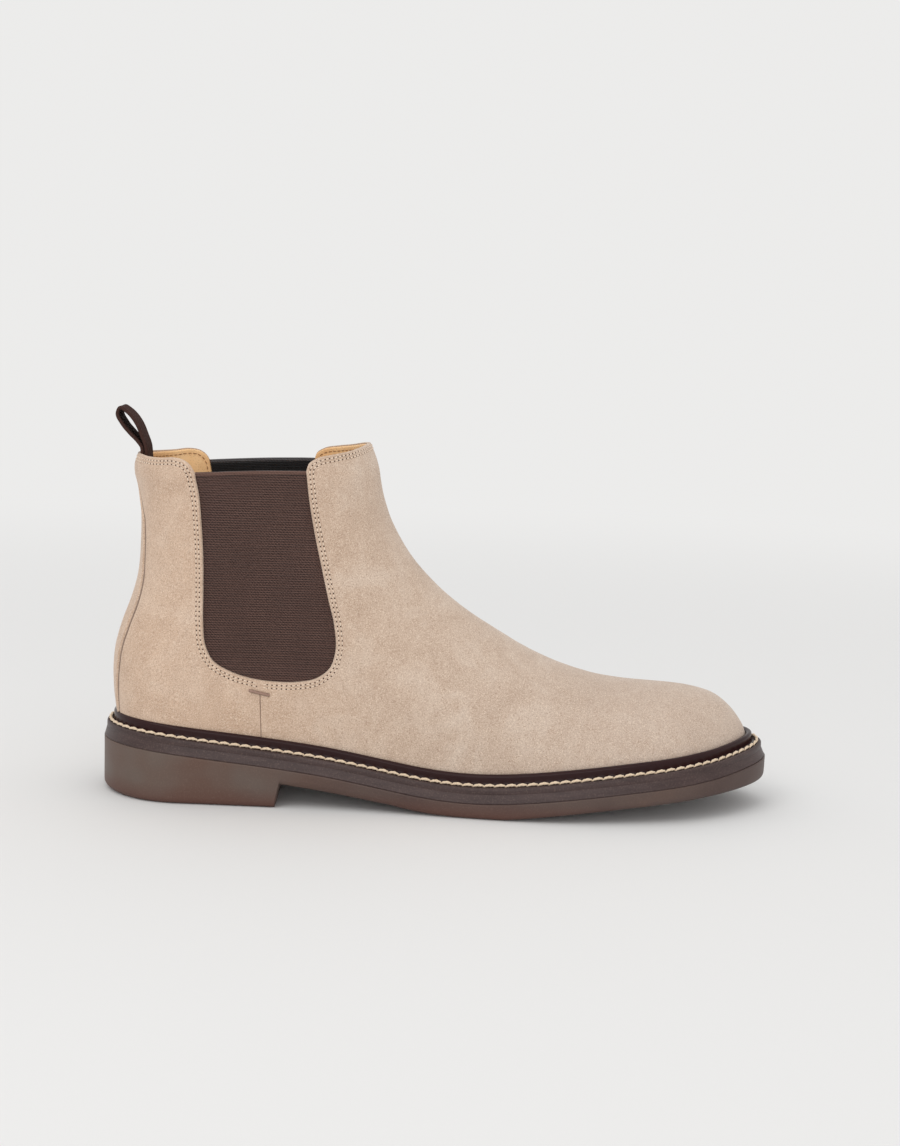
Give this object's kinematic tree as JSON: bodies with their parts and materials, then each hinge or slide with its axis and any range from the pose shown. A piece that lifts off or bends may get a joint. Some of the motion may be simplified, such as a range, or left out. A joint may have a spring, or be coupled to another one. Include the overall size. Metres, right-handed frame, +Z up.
{
  "type": "chelsea boot",
  "caption": "Right-foot suede ankle boot with elastic side gores, a back pull tab, a storm welt with contrast stitching and a one-piece rubber sole with a low heel.",
  "frame": {"origin": "centre of the bounding box, on the ground under the boot", "axes": "+X from heel to toe, +Z up, -Y to the outer (lateral) side of a right boot"},
  "size_m": [0.3073, 0.1033, 0.1749],
  "materials": {
    "outsole_rubber": "moulded, satin, slightly translucent dark brown",
    "midsole_leather": "edge-dressed, satin, finely textured",
    "welt_leather": "polished dark burgundy-brown, raised rib, fudge-wheeled edge",
    "welt_thread": "waxed cream lockstitch thread",
    "cork": "granulated cork",
    "shank_steel": "plain spring steel",
    "insole_board": "fibre board",
    "rib_canvas": "gemmed canvas",
    "foam": "open-cell latex foam",
    "lining_leather": "smooth tan lining leather",
    "suede": "sand suede with a mottled short nap",
    "stiffener": "thermoplastic-soaked fabric",
    "elastic": "brown woven elastic with fine lengthwise ribs",
    "elastic_backing": "black woven elastic",
    "bartack_thread": "dense satin-stitched thread",
    "tab_tape": "dark brown herringbone cotton tape"
  },
  "bodies": {
    "boot": {"outsole": "outsole_rubber", "midsole": "midsole_leather", "welt": "welt_leather", "welt_thread": "welt_thread", "cork_filler": "cork", "shank": "shank_steel", "insole_board": "insole_board", "insole_rib": "rib_canvas", "heel_pad": "foam", "sock_liner": "lining_leather", "vamp": "suede", "vamp_lining": "lining_leather", "toe_puff": "stiffener", "heel_counter": "stiffener", "quarter_lateral": "suede", "quarter_medial": "suede", "quarter_lining": "lining_leather", "gore_lateral": "elastic", "gore_medial": "elastic", "gore_backing_lateral": "elastic_backing", "gore_backing_medial": "elastic_backing", "bartack_lateral": "bartack_thread", "bartack_medial": "bartack_thread"},
    "shaft_back": {"quarter_top_lateral": "suede", "quarter_top_medial": "suede", "shaft_lining": "lining_leather", "pull_tab_anchor": "tab_tape"},
    "pull_tab": {"pull_tab": "tab_tape"}
  },
  "joints": [
    {"name": "shaft_opening", "type": "hinge", "parent": "boot", "child": "shaft_back", "pos_m": [-0.1435, 0, 0.088], "axis": [0, -1, 0], "range_deg": [0, 9], "stiffness_Nm_per_rad": 6, "deforming": ["gore_lateral", "gore_medial", "gore_backing_lateral", "gore_backing_medial"]},
    {"name": "pull_tab_flex", "type": "hinge", "parent": "shaft_back", "child": "pull_tab", "pos_m": [-0.1362, 0, 0.1564], "axis": [0, -1, 0], "range_deg": [-70, 50], "stiffness_Nm_per_rad": 0.01}
  ]
}
